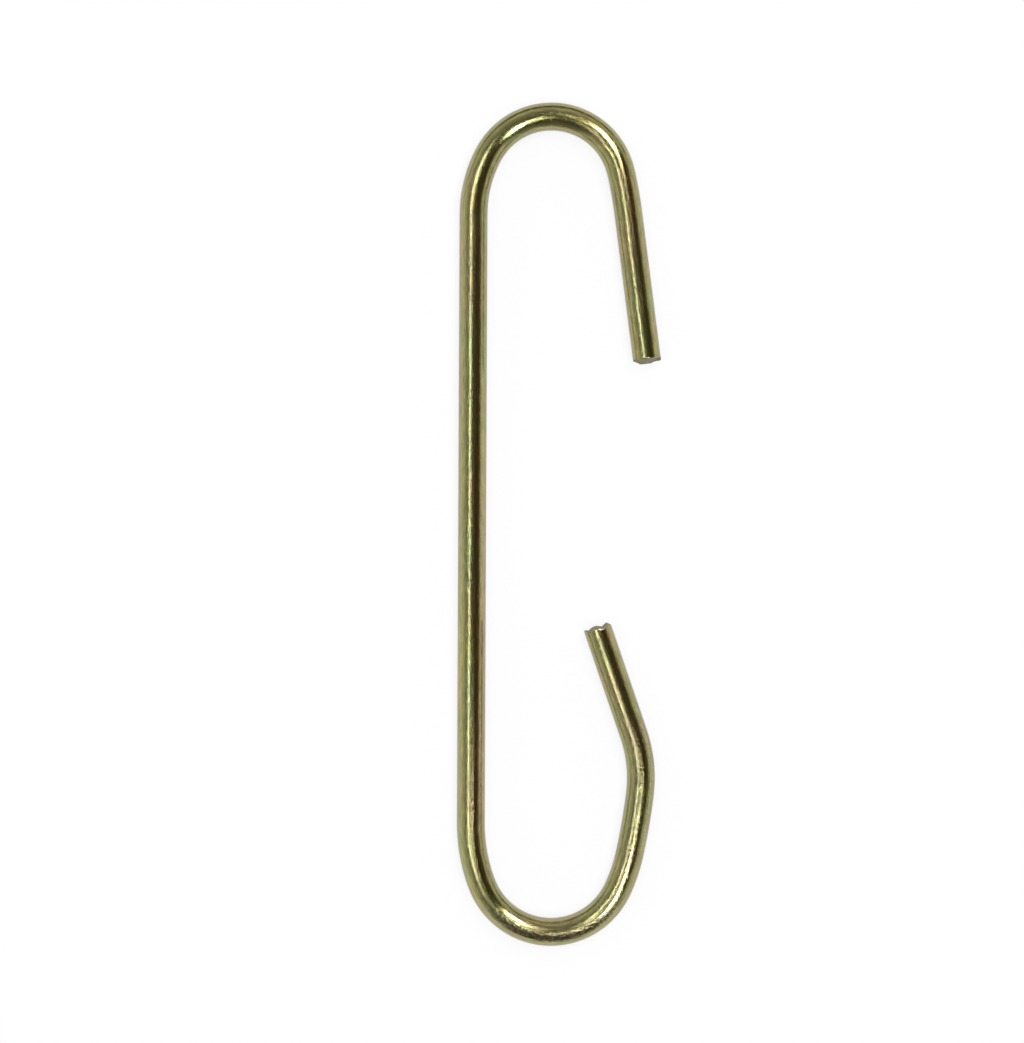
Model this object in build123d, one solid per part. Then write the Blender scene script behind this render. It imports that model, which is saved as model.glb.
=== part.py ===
from build123d import *
import os

# Cistern C-link: one length of round steel wire, cold bent on formers into an open C and cropped
# square at both ends. The upper hook hangs in the eye of a flush lever, and the lower hook carries
# the lift rod of a siphon.
#
# The link lies flat. X runs from the straight leg to the open side, Y runs up the leg to the upper
# hook, and Z is up from the surface that the wire lies on. The origin is under the middle of it.

# Wire
wire_diameter = 3.0

# Leg: the long straight back of the C
leg_length = 64.9

# Upper hook, from the leg round to its free end. The wire springs back off the former, so a wider
# arc eases it in and another lets it out. Radii are on the inside of the bend, turns in degrees.
upper_ease_radius = 12.2
upper_ease_turn = 27.6
upper_hook_radius = 6.1
upper_release_radius = 46.5
upper_release_turn = 5.4
upper_arm_lean = 7.5
upper_arm_length = 16.0

# Lower hook, from the leg round to its free end. Above the hook the wire runs on in a shallow
# throat, then a kink turns its arm in towards the leg.
lower_ease_radius = 16.8
lower_ease_turn = 21.0
lower_hook_radius = 6.35
lower_release_radius = 17.7
lower_release_turn = 12.0
lower_throat_radius = 67.8
lower_throat_turn = 5.3
kink_radius = 12.7
kink_turn = 25.9
lower_arm_lean = 19.1
lower_arm_length = 12.2

# Cropped ends. The blade leaves each face slightly crowned and tipped off square: across turns it
# in the plane of the C, and up turns it to the upper side. A rolled edge runs round the face.
upper_crop_crown = 4.4
upper_crop_across = 0.8
upper_crop_up = 8.0
lower_crop_crown = 20.0
lower_crop_across = -2.5
lower_crop_up = 5.0
crop_edge_roll = 0.16

wire_radius = wire_diameter / 2


def bend(start, inside_radius, turn):
    """An arc that goes on from the end of a run and turns by an angle, positive to the left."""
    return JernArc(start @ 1, start % 1, inside_radius + wire_radius, turn)


def straight(start, length):
    """A straight run that goes on from the end of another."""
    return Line(start @ 1, start @ 1 + (start % 1) * length)


def upper_runs(leg):
    """The centreline of the upper hook, which turns to the right from the top of the leg."""
    eased = upper_ease_turn + upper_release_turn
    ease = bend(leg, upper_ease_radius, -upper_ease_turn)
    hook = bend(ease, upper_hook_radius, eased + upper_arm_lean - 180)
    release = bend(hook, upper_release_radius, -upper_release_turn)
    return [ease, hook, release, straight(release, upper_arm_length)]


def lower_runs(leg):
    """The centreline of the lower hook, which turns to the left from the foot of the leg."""
    eased = lower_ease_turn + lower_release_turn + lower_throat_turn + kink_turn
    ease = bend(leg, lower_ease_radius, lower_ease_turn)
    hook = bend(ease, lower_hook_radius, 180 + lower_arm_lean - eased)
    release = bend(hook, lower_release_radius, lower_release_turn)
    throat = bend(release, lower_throat_radius, lower_throat_turn)
    kink = bend(throat, kink_radius, kink_turn)
    return [ease, hook, release, throat, kink, straight(kink, lower_arm_length)]


def crop(wire, arm, crown, across, up):
    """Trim the spare wire past an arm's end to a crowned face, as the blade does, and roll its edge."""
    end, way = arm @ 1, arm % 1
    side = Axis((0, 0, 0), way.cross(Vector(0, 0, 1)))
    facing = way.rotate(Axis.Z, across).rotate(side, up)
    base = (Align.CENTER, Align.CENTER, Align.MIN)
    spare = Cylinder(wire_diameter, 2 * wire_diameter, align=base)
    spare = Plane(end - way * wire_radius, z_dir=way) * spare
    wire -= spare - Pos(end - facing * crown) * Sphere(crown)
    face = wire.faces().sort_by_distance(end)[0]
    return fillet(face.edges(), crop_edge_roll)


def c_link():
    """The whole link, lying flat with the origin under the middle of it."""
    leg = Line((0, 0), (0, leg_length))
    upper, lower = upper_runs(leg), lower_runs(leg.reversed())
    spare = [straight(arm, wire_diameter) for arm in (upper[-1], lower[-1])]
    path = Wire([leg, *upper, *lower, *spare])
    wire = sweep(Plane(path @ 0, z_dir=path % 0) * Circle(wire_radius), path=path)
    wire = crop(wire, upper[-1], upper_crop_crown, upper_crop_across, upper_crop_up)
    wire = crop(wire, lower[-1], lower_crop_crown, lower_crop_across, lower_crop_up)
    box = wire.bounding_box()
    return Pos(-box.center().X, -box.center().Y, -box.min.Z) * wire


os.makedirs("parts", exist_ok=True)
export_step(c_link(), "parts/c_link.step")
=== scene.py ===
import math

import bmesh
import bpy
from mathutils import Matrix, Vector


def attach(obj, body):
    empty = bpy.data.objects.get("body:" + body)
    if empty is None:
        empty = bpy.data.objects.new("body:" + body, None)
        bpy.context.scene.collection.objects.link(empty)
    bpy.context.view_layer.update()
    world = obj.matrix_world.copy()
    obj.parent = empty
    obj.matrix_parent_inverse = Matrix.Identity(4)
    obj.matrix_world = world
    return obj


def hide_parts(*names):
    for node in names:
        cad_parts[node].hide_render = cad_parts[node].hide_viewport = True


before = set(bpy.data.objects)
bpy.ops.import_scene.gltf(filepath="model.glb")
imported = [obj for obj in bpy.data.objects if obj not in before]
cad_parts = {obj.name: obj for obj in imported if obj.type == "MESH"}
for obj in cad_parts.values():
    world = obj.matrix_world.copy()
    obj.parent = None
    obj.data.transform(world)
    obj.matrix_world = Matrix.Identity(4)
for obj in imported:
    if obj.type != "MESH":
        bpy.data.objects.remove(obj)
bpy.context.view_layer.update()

# The link: one length of 3 mm steel wire, cold bent on formers into an open C that lies flat. It is
# drawn here as it is bent, from the upper hook's free end over the hook, down the leg, round the
# lower hook, up its throat and kink, and along the lower arm to the other free end.

mm = 0.001
wire_radius = 1.5 * mm
ring_points = 24
ring_gap = 0.9 * mm
spare_length = 1.2 * mm

# Straight runs are lengths, and bends are an inside radius and a turn in degrees.
upper_end = Vector((9.3280, 17.2435, 1.5)) * mm
upper_heading = 97.5
upper_arm_length = 16.0 * mm
upper_release = (46.5 * mm, 5.4)
upper_hook = (6.1 * mm, 139.5)
upper_ease = (12.2 * mm, 27.6)
leg_length = 64.9 * mm
lower_ease = (16.8 * mm, 21.0)
lower_hook = (6.35 * mm, 134.9)
lower_release = (17.7 * mm, 12.0)
lower_throat = (67.8 * mm, 5.3)
kink = (12.7 * mm, 25.9)
lower_arm_length = 12.2 * mm


class Draw:
    """The end of the wire that is being drawn: where it is, and which way it heads."""

    def __init__(self, place, heading):
        self.place = place
        self.heading = math.radians(heading)
        self.length = 0.0
        self.rings = [(place.copy(), self.heading, self.length)]

    def way(self):
        return Vector((math.cos(self.heading), math.sin(self.heading), 0))

    def step(self, place, turn, length):
        self.place = place
        self.heading += turn
        self.length += length
        self.rings.append((place.copy(), self.heading, self.length))

    def straight(self, length):
        """Extrude a straight run, a ring at a time."""
        steps = math.ceil(length / ring_gap)
        move = self.way() * (length / steps)
        bpy.ops.mesh.extrude_repeat(steps=steps, offset=move, scale_offset=1)
        for _ in range(steps):
            self.step(self.place + move, 0, length / steps)

    def bend(self, inside_radius, degrees):
        """Spin a bend to the left round its former."""
        radius = inside_radius + wire_radius
        turn = math.radians(degrees)
        steps = math.ceil(radius * turn / ring_gap)
        left = Vector((-self.way().y, self.way().x, 0))
        centre = self.place + left * radius
        bpy.ops.mesh.spin(steps=steps, angle=-turn, center=centre, axis=(0, 0, 1))
        for _ in range(steps):
            arm = Matrix.Rotation(turn / steps, 3, "Z") @ (self.place - centre)
            self.step(centre + arm, turn / steps, radius * turn / steps)


# The subdivision draws the cage in, so the cage is a little wider than the wire.
cage_radius = wire_radius / (2 / 3 + math.cos(math.tau / ring_points) / 3)
upper_turn = math.radians(upper_heading)
upper_way = Vector((math.cos(upper_turn), math.sin(upper_turn), 0))
start = upper_end - upper_way * spare_length
bpy.ops.object.select_all(action="DESELECT")
bpy.ops.mesh.primitive_circle_add(
    vertices=ring_points, radius=cage_radius, fill_type="NOTHING",
    location=start, rotation=(math.radians(90), 0, math.radians(upper_heading - 90)))
wire = bpy.context.object
wire.name = "bent_wire"
bpy.ops.object.transform_apply(location=True, rotation=True, scale=True)
wire_line = Draw(start, upper_heading)
bpy.ops.object.mode_set(mode="EDIT")
bpy.ops.mesh.select_all(action="SELECT")
wire_line.straight(spare_length + upper_arm_length)
wire_line.bend(*upper_release)
wire_line.bend(*upper_hook)
wire_line.bend(*upper_ease)
wire_line.straight(leg_length)
wire_line.bend(*lower_ease)
wire_line.bend(*lower_hook)
wire_line.bend(*lower_release)
wire_line.bend(*lower_throat)
wire_line.bend(*kink)
wire_line.straight(lower_arm_length + spare_length)
bpy.ops.object.mode_set(mode="OBJECT")

# The draw lines follow the wire, so its surface keeps how far each point lies out from the
# centreline, up from it, and along it.
drawn = wire.data.attributes.new("drawn", "FLOAT_VECTOR", "POINT")
for number, vertex in enumerate(wire.data.vertices):
    place, heading, along = wire_line.rings[number // ring_points]
    outward = Vector((math.sin(heading), -math.cos(heading), 0))
    arm = vertex.co - place
    drawn.data[number].vector = (arm.dot(outward), arm.z, along)
finer = wire.modifiers.new("finer", "SUBSURF")
finer.levels = 2
finer.render_levels = 2
bpy.ops.object.modifier_apply(modifier="finer")

# The cropped ends: the blade shears the wire across and leaves bare steel, a crowned face tipped a
# little off square with a rolled edge. It tears the rim, most of all on the lower arm, which keeps
# two notches and a rounded corner.

edge_roll = 0.16 * mm
edge_turns = (math.pi / 6, math.pi / 3, math.pi / 2)
face_rings = (0.8, 0.6, 0.4, 0.2, 0.1)
cut_reach = 6 * mm
end_reach = 2 * mm
bare_radius = 0.99 * wire_radius
rim_height = 0.2 * mm
dent_width = 0.12 * mm
wire.data.attributes.new("cropped", "FLOAT", "POINT")


def crop(place, way, crown, across, up):
    """Cut the spare wire off, shape the crowned face that the blade leaves, and mark it as bare."""
    side = way.cross(Vector((0, 0, 1)))
    facing = Matrix.Rotation(math.radians(across), 3, "Z") @ way
    facing = Matrix.Rotation(math.radians(up), 3, side) @ facing
    face_radius = wire_radius - edge_roll
    crown_rise = crown - math.sqrt(crown ** 2 - face_radius ** 2)
    profile = [(wire_radius - edge_roll * (1 - math.cos(turn)), edge_roll * math.sin(turn))
               for turn in edge_turns]
    for share in face_rings:
        fall = crown - math.sqrt(crown ** 2 - (face_radius * share) ** 2)
        profile.append((face_radius * share, edge_roll + crown_rise - fall))
    centre = place - facing * (crown_rise + edge_roll)
    bpy.ops.object.mode_set(mode="EDIT")
    bpy.ops.mesh.select_mode(type="FACE")
    bpy.ops.mesh.select_all(action="DESELECT")
    shape = bmesh.from_edit_mesh(wire.data)
    for face in shape.faces:
        face.select = (face.calc_center_median() - place).length < cut_reach
    bmesh.update_edit_mesh(wire.data)
    bpy.ops.mesh.bisect(plane_co=centre, plane_no=facing, clear_outer=True, use_fill=True)
    radius, height = wire_radius, 0.0
    for next_radius, next_height in profile:
        rise = facing * (next_height - height)
        centre = centre + rise
        bpy.ops.mesh.extrude_region_move(TRANSFORM_OT_translate={"value": rise})
        bpy.ops.transform.resize(value=[next_radius / radius] * 3, center_override=centre)
        radius, height = next_radius, next_height
    bpy.ops.mesh.merge(type="CENTER")
    bpy.ops.object.mode_set(mode="OBJECT")
    cropped = wire.data.attributes["cropped"].data
    for number, vertex in enumerate(wire.data.vertices):
        arm = vertex.co - place
        from_middle = (arm - way * arm.dot(way)).length
        if arm.length < end_reach and from_middle < bare_radius:
            cropped[number].value = 1.0


def press(place, way, across, depth, reach):
    """Press the rim of a cut face in at one place across it, or draw it out where depth is below 0."""
    right = Vector((way.y, -way.x, 0))
    bpy.ops.object.mode_set(mode="EDIT")
    bpy.ops.mesh.select_mode(type="VERT")
    bpy.ops.mesh.select_all(action="DESELECT")
    shape = bmesh.from_edit_mesh(wire.data)
    for point in shape.verts:
        arm = point.co - place
        near = arm.length < end_reach and arm.dot(way) > -rim_height
        point.select = near and abs(arm.dot(right) - across) < dent_width
    bmesh.update_edit_mesh(wire.data)
    bpy.ops.transform.translate(
        value=way * -depth, use_proportional_edit=True, proportional_edit_falloff="SMOOTH",
        proportional_size=reach)
    bpy.ops.object.mode_set(mode="OBJECT")


lower_way = wire_line.way()
lower_end = wire_line.place - lower_way * spare_length
crop(upper_end, -upper_way, 4.4 * mm, 0.8, 8.0)
crop(lower_end, lower_way, 20.0 * mm, -2.5, 5.0)
for across, depth, reach in ((1.40, 0.12, 0.45), (-1.35, -0.08, 0.35)):
    press(upper_end, -upper_way, across * mm, depth * mm, reach * mm)
for across, depth, reach in ((-0.95, 0.22, 0.50), (0.50, 0.25, 0.50), (1.45, 0.22, 0.40)):
    press(lower_end, lower_way, across * mm, depth * mm, reach * mm)
bpy.ops.object.mode_set(mode="EDIT")
bpy.ops.mesh.select_all(action="SELECT")
bpy.ops.mesh.normals_make_consistent(inside=False)
bpy.ops.object.mode_set(mode="OBJECT")
rim_angle = math.radians(35)
bpy.ops.object.shade_smooth_by_angle(angle=rim_angle)

# The finish: bright zinc plate under a yellow passivate, an olive film with green, straw and pinkish
# tints. Draw lines from the die run along the wire, the bending tools leave it pitted on the outside
# of the lower bend and up the throat, and the cut faces are dull bare steel.

olive = (0.316, 0.307, 0.108, 1)
green = (0.280, 0.325, 0.115, 1)
straw = (0.370, 0.335, 0.100, 1)
rose = (0.375, 0.280, 0.130, 1)
# The pits are dark umber with light specks, and the specks are painted glints.
pit_umber = (0.140, 0.115, 0.050, 1)
pit_glint = (0.420, 0.390, 0.220, 1)
bare_steel = (0.22, 0.21, 0.13, 1)
plate_tint = (0.58, 0.58, 0.58, 1)
line_depth = 0.018 * mm

# How fine each pattern is, per metre outwards, upwards and along the wire.
fine_line_scale = (14000, 14000, 900)
coarse_line_scale = (4200, 4200, 160)
pit_scale = (4800, 4800, 3400)
patch_scale = (420, 420, 95)
other_patch_scale = (420, 420, 70)
rub_scale = (6500, 6500, 700)


class Socket:
    """A value in a shader, with arithmetic that adds the Math nodes for it."""

    def __init__(self, tree, link):
        self.tree = tree
        self.link = link

    def maths(self, operation, first, second):
        return self.tree.node("ShaderNodeMath", {"operation": operation}, {0: first, 1: second})

    def __add__(self, other):
        return self.maths("ADD", self, other)

    def __radd__(self, other):
        return self.maths("ADD", other, self)

    def __sub__(self, other):
        return self.maths("SUBTRACT", self, other)

    def __rsub__(self, other):
        return self.maths("SUBTRACT", other, self)

    def __mul__(self, other):
        return self.maths("MULTIPLY", self, other)

    def __rmul__(self, other):
        return self.maths("MULTIPLY", other, self)


class Tree:
    """The nodes of a material or of the world."""

    def __init__(self, owner):
        owner.use_nodes = True
        self.tree = owner.node_tree
        self.tree.nodes.clear()

    def node(self, kind, settings, sockets, output=0):
        """Add a node: its settings first, then its sockets' values or links. Gives back one output."""
        node = self.tree.nodes.new(kind)
        for name, value in settings.items():
            setattr(node, name, value)
        for name, value in sockets.items():
            if isinstance(value, Socket):
                self.tree.links.new(value.link, node.inputs[name])
            else:
                node.inputs[name].default_value = value
        return Socket(self, node.outputs[output]) if node.outputs else None

    def part(self, vector, axis):
        return self.node("ShaderNodeSeparateXYZ", {}, {0: vector}, axis)

    def stretch(self, vector, scale):
        return self.node("ShaderNodeVectorMath", {"operation": "MULTIPLY"}, {0: vector, 1: scale})

    def shift(self, vector, move):
        return self.node("ShaderNodeVectorMath", {"operation": "ADD"}, {0: vector, 1: move})

    def noise(self, vector, detail, roughness):
        sockets = {"Vector": vector, "Scale": 1.0, "Detail": detail, "Roughness": roughness}
        return self.node("ShaderNodeTexNoise", {}, sockets)

    def ease(self, value, low, high, start=0.0, end=1.0):
        """A smooth step from start to end as the value goes from low to high."""
        sockets = {"Value": value, "From Min": low, "From Max": high, "To Min": start, "To Max": end}
        return self.node("ShaderNodeMapRange", {"interpolation_type": "SMOOTHSTEP"}, sockets)

    def between(self, value, start, full, fading, end):
        """1 from full to fading, easing in from start and out to end."""
        return self.ease(value, start, full) * self.ease(value, fading, end, 1.0, 0.0)

    def tint(self, share, first, second, blend="MIX"):
        """Two colours mixed."""
        sockets = {0: share, 6: first, 7: second}
        return self.node("ShaderNodeMix", {"data_type": "RGBA", "blend_type": blend}, sockets, 2)


plated = bpy.data.materials.new("plated_wire")
plate = Tree(plated)
place = plate.node("ShaderNodeAttribute", {"attribute_name": "drawn"}, {}, "Vector")
out = plate.part(place, "X")
along = plate.part(place, "Z")

# Draw lines, fine and coarse, and the pits.
fine_lines = plate.noise(plate.stretch(place, fine_line_scale), 2.0, 0.6)
coarse_lines = plate.noise(plate.stretch(place, coarse_line_scale), 2.0, 0.5)
pits = plate.noise(plate.stretch(place, pit_scale), 2.0, 0.6)
lower_bend = plate.between(along, 118 * mm, 124 * mm, 133 * mm, 139 * mm)
lower_bend = lower_bend * plate.between(out, -0.2 * mm, 0.1 * mm, 0.8 * mm, 1.1 * mm)
throat = plate.between(along, 137 * mm, 142 * mm, 153 * mm, 158 * mm)
throat = throat * plate.ease(out, -0.9 * mm, -0.3 * mm)
pitted = 0.04 + 0.86 * lower_bend + 0.3 * throat
height = fine_lines * 0.75 + coarse_lines * 0.07 + pits * pitted * 2.5
relief = plate.node("ShaderNodeBump", {}, {"Strength": 1.0, "Distance": line_depth, "Height": height})

# Tints of the film in long patches, pinkish inside the lower leg, and rubbed along the wire.
patches = plate.noise(plate.stretch(place, patch_scale), 3.0, 0.6)
other_patches = plate.noise(plate.shift(plate.stretch(place, other_patch_scale), (7.0, 3.0, 5.0)), 3.0, 0.6)
rubbed = plate.noise(plate.shift(plate.stretch(place, rub_scale), (3.0, 9.0, 2.0)), 4.0, 0.75)
inner_leg = plate.between(along, 55 * mm, 90 * mm, 112 * mm, 122 * mm)
inner_leg = inner_leg * plate.ease(out, 0.2 * mm, -0.8 * mm)
film = plate.tint(plate.ease(patches, 0.50, 0.70) * 0.7, olive, green)
film = plate.tint(plate.ease(other_patches, 0.50, 0.72) * 0.8, film, straw)
film = plate.tint(plate.ease(patches, 0.52, 0.36) * 0.55 + inner_leg * 0.45, film, rose)
# Where the wire is pitted, the colour turns dark umber with light specks, and the specks are painted glints.
film = plate.tint(pitted * 0.9, film, plate.tint(plate.ease(pits, 0.46, 0.57), pit_umber, pit_glint))
film = plate.stretch(film, 2.0 * rubbed)

bare_end = plate.node("ShaderNodeAttribute", {"attribute_name": "cropped"}, {}, "Fac")
shader = plate.node("ShaderNodeBsdfPrincipled", {}, {
    "Base Color": plate.tint(bare_end, film, bare_steel),
    "Metallic": 1.0 - 0.7 * bare_end,
    "Roughness": 0.07 + 0.08 * coarse_lines + 0.10 * pitted + 0.4 * bare_end,
    "Normal": relief,
    "Specular Tint": plate_tint,
    "Coat Weight": 0.9 - 0.9 * bare_end,
    "Coat Roughness": 0.07,
    "Coat IOR": 1.5})
plate.node("ShaderNodeOutputMaterial", {}, {"Surface": shader})
wire.data.materials.append(plated)
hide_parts("c_link")
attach(wire, "root")

# The floor: a plain white sheet that the link lies on. Looked at, it is white but for the link's
# shadow. The plate mirrors it as it is lit, so the wire keeps its darker edges.

floor_size = 4.0
sheet_white = (0.95, 0.95, 0.95, 1)
glow_share = 0.85
bpy.ops.object.select_all(action="DESELECT")
bpy.ops.mesh.primitive_plane_add(size=floor_size, location=(0, 0, 0))
floor = bpy.context.object
floor.name = "floor"
white_sheet = bpy.data.materials.new("white_sheet")
sheet = Tree(white_sheet)
seen = sheet.node("ShaderNodeLightPath", {}, {}, "Is Camera Ray")
through = sheet.node("ShaderNodeLightPath", {}, {}, "Is Transmission Ray")
looked_at = seen + through
bare = sheet.node("ShaderNodeBsdfDiffuse", {}, {"Color": sheet_white})
glow = sheet.node("ShaderNodeEmission", {}, {"Color": (1, 1, 1, 1), "Strength": 1.0})
surface = sheet.node("ShaderNodeMixShader", {}, {0: looked_at * glow_share, 1: bare, 2: glow})
sheet.node("ShaderNodeOutputMaterial", {}, {"Surface": surface})
floor.data.materials.append(white_sheet)

# The lamps: a wide one on the left draws the bright streak down the leg and arms, two long ones on
# the right and two small ones on the left light the bends, and one overhead fills in, unseen in the
# plate.

lamp_distance = 1.0
lamp_colour = (0.93, 0.92, 1.0)


def lamp(name, toward, across, along, watts, colour=lamp_colour):
    """A soft lamp that faces the link from a direction: across is level, along runs to the zenith."""
    place = Vector(toward).normalized() * lamp_distance
    bpy.ops.object.light_add(type="AREA", location=place)
    light = bpy.context.object
    light.name = name
    light.data.shape = "RECTANGLE"
    light.data.size = across
    light.data.size_y = along
    light.data.energy = watts
    light.data.color = colour
    light.rotation_euler = place.to_track_quat("Z", "Y").to_euler()
    return light


lamp("upper_lamp", (0.30, 0.36, 0.88), 0.20, 0.44, 2.9)
lamp("lower_lamp", (0.24, -0.27, 0.93), 0.14, 0.38, 2.6)
lamp("left_lamp", (-0.36, 0.02, 0.93), 0.50, 0.10, 1.1)
lamp("upper_left_lamp", (-0.20, 0.19, 0.96), 0.06, 0.20, 0.28)
lamp("lower_left_lamp", (-0.20, -0.16, 0.97), 0.06, 0.20, 0.15)
fill = lamp("fill_lamp", (0.0, 0.0, 1.0), 1.0, 1.0, 2.1, (1.0, 1.0, 1.0))
fill.visible_glossy = False

# The room: pale walls that are brightest low down, with dark cards on the right, overhead and towards
# the foot of the link, which the plate mirrors as its dark bands.

right_card = (0.21, 0.15, 0.08, 1)
overhead_card = (0.20, 0.17, 0.12, 1)
dark_card = (0.14, 0.12, 0.08, 1)
low_light = 0.95
overhead_light = 0.28
pale_room = bpy.data.worlds.new("pale_room")
bpy.context.scene.world = pale_room
room = Tree(pale_room)
look = room.node("ShaderNodeTexCoord", {}, {}, "Generated")


def card(toward, inner, outer):
    """1 on a card in the room and 0 away from it. The angles, in degrees, are from its middle."""
    middle = Vector(toward).normalized()
    nearness = room.node("ShaderNodeVectorMath", {"operation": "DOT_PRODUCT"}, {0: look, 1: middle}, "Value")
    return room.ease(nearness, math.cos(math.radians(outer)), math.cos(math.radians(inner)))


shade = room.tint(card((0.58, 0.06, 0.78), 25, 34), (1, 1, 1, 1), right_card)
shade = room.tint(card((0.05, 0.0, 1.0), 6, 24) * 0.5, shade, overhead_card, "MULTIPLY")
shade = room.tint(card((0.06, -0.85, 0.50), 25, 47) * 0.78, shade, dark_card, "MULTIPLY")
brightness = room.ease(room.part(look, "Z"), 0.0, 1.0, low_light, overhead_light)
sky = room.node("ShaderNodeBackground", {}, {"Color": shade, "Strength": brightness})
room.node("ShaderNodeOutputWorld", {}, {"Surface": sky})

# The flag: a strip of dark felt that leans over the floor beyond the upper hook. Only the plate
# mirrors it, as the thin dark line along the top of the hook, and it throws no shadow.

flag_place = (0, 0.181, 0.035)
flag_rise = 0.07
flag_run = 0.238
flag_width = 0.9
bpy.ops.object.select_all(action="DESELECT")
bpy.ops.mesh.primitive_plane_add(
    size=1.0, location=flag_place, rotation=(math.atan2(flag_rise, flag_run), 0, 0))
flag = bpy.context.object
flag.name = "dark_flag"
flag.scale = (flag_width, math.hypot(flag_rise, flag_run), 1)
flag.visible_camera = False
flag.visible_diffuse = False
flag.visible_shadow = False
dark_felt = bpy.data.materials.new("dark_felt")
felt = Tree(dark_felt)
felt_glow = felt.node("ShaderNodeEmission", {}, {"Color": dark_card, "Strength": 1.0})
felt.node("ShaderNodeOutputMaterial", {}, {"Surface": felt_glow})
flag.data.materials.append(dark_felt)

# The camera looks straight down, as the photograph does, and a quarter of a degree askew. It takes
# in 111 mm of height at the middle of the wire.

frame_height = 111.15 * mm
camera_height = 450 * mm
camera_place = (-5.019 * mm, 0.266 * mm, 1.5 * mm + camera_height)
camera_turn = math.radians(0.257)
sensor_height = 24
bpy.ops.object.camera_add(location=camera_place, rotation=(0, 0, camera_turn))
camera = bpy.context.object
camera.data.sensor_fit = "VERTICAL"
camera.data.sensor_height = sensor_height
camera.data.lens = sensor_height * camera_height / frame_height
camera.data.clip_start = 0.01
bpy.context.scene.camera = camera
bpy.context.scene.view_settings.view_transform = "Standard"
